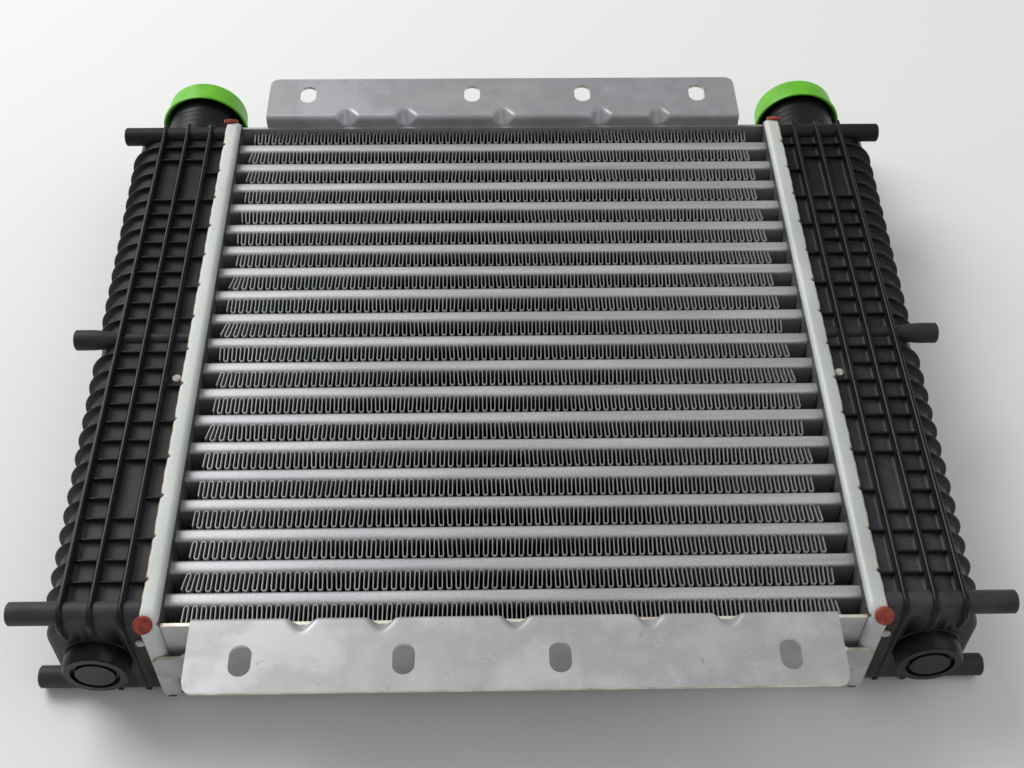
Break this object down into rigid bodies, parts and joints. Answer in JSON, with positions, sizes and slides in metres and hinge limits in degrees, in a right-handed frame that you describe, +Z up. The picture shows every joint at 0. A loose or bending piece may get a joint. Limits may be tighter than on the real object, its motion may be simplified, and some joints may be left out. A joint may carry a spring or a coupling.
{
  "type": "intercooler",
  "caption": "Charge-air cooler: a core of flat tubes and corrugated fins between two ribbed plastic tanks, with capped hose ports and slotted side brackets.",
  "frame": {"origin": "on the surface that it lies on, below the centre of the whole part's outline", "axes": "+X along the tubes to the right-hand tank, +Y towards the two hose ports, +Z up out of the core's face"},
  "size_m": [0.419, 0.3978, 0.0675],
  "materials": {
    "tube_metal": "satin",
    "fin_metal": "satin",
    "header_metal": "satin",
    "bracket_metal": "matte, stained",
    "tank_plastic": "satin moulded, glass-filled",
    "cap_plastic": "soft satin",
    "gasket_rubber": "matte",
    "plug_rubber": "satin"
  },
  "bodies": {
    "root": {"tube_01": "tube_metal", "tube_02": "tube_metal", "tube_03": "tube_metal", "tube_04": "tube_metal", "tube_05": "tube_metal", "tube_06": "tube_metal", "tube_07": "tube_metal", "tube_08": "tube_metal", "tube_09": "tube_metal", "tube_10": "tube_metal", "tube_11": "tube_metal", "tube_12": "tube_metal", "tube_13": "tube_metal", "tube_14": "tube_metal", "tube_15": "tube_metal", "tube_16": "tube_metal", "tube_17": "tube_metal", "tube_18": "tube_metal", "tube_19": "tube_metal", "fin_01": "fin_metal", "fin_02": "fin_metal", "fin_03": "fin_metal", "fin_04": "fin_metal", "fin_05": "fin_metal", "fin_06": "fin_metal", "fin_07": "fin_metal", "fin_08": "fin_metal", "fin_09": "fin_metal", "fin_10": "fin_metal", "fin_11": "fin_metal", "fin_12": "fin_metal", "fin_13": "fin_metal", "fin_14": "fin_metal", "fin_15": "fin_metal", "fin_16": "fin_metal", "fin_17": "fin_metal", "fin_18": "fin_metal", "fin_19": "fin_metal", "fin_20": "fin_metal", "tank_right": "tank_plastic", "tank_left": "tank_plastic", "header_right": "header_metal", "header_left": "header_metal", "gasket_right": "gasket_rubber", "gasket_left": "gasket_rubber", "port_cap_right": "cap_plastic", "port_cap_left": "cap_plastic", "corner_plug_near_right": "plug_rubber", "corner_plug_near_left": "plug_rubber", "corner_plug_far_right": "plug_rubber", "corner_plug_far_left": "plug_rubber", "side_plate_near": "bracket_metal", "side_plate_far": "bracket_metal", "bracket_near": "bracket_metal", "bracket_far": "bracket_metal"}
  },
  "joints": []
}
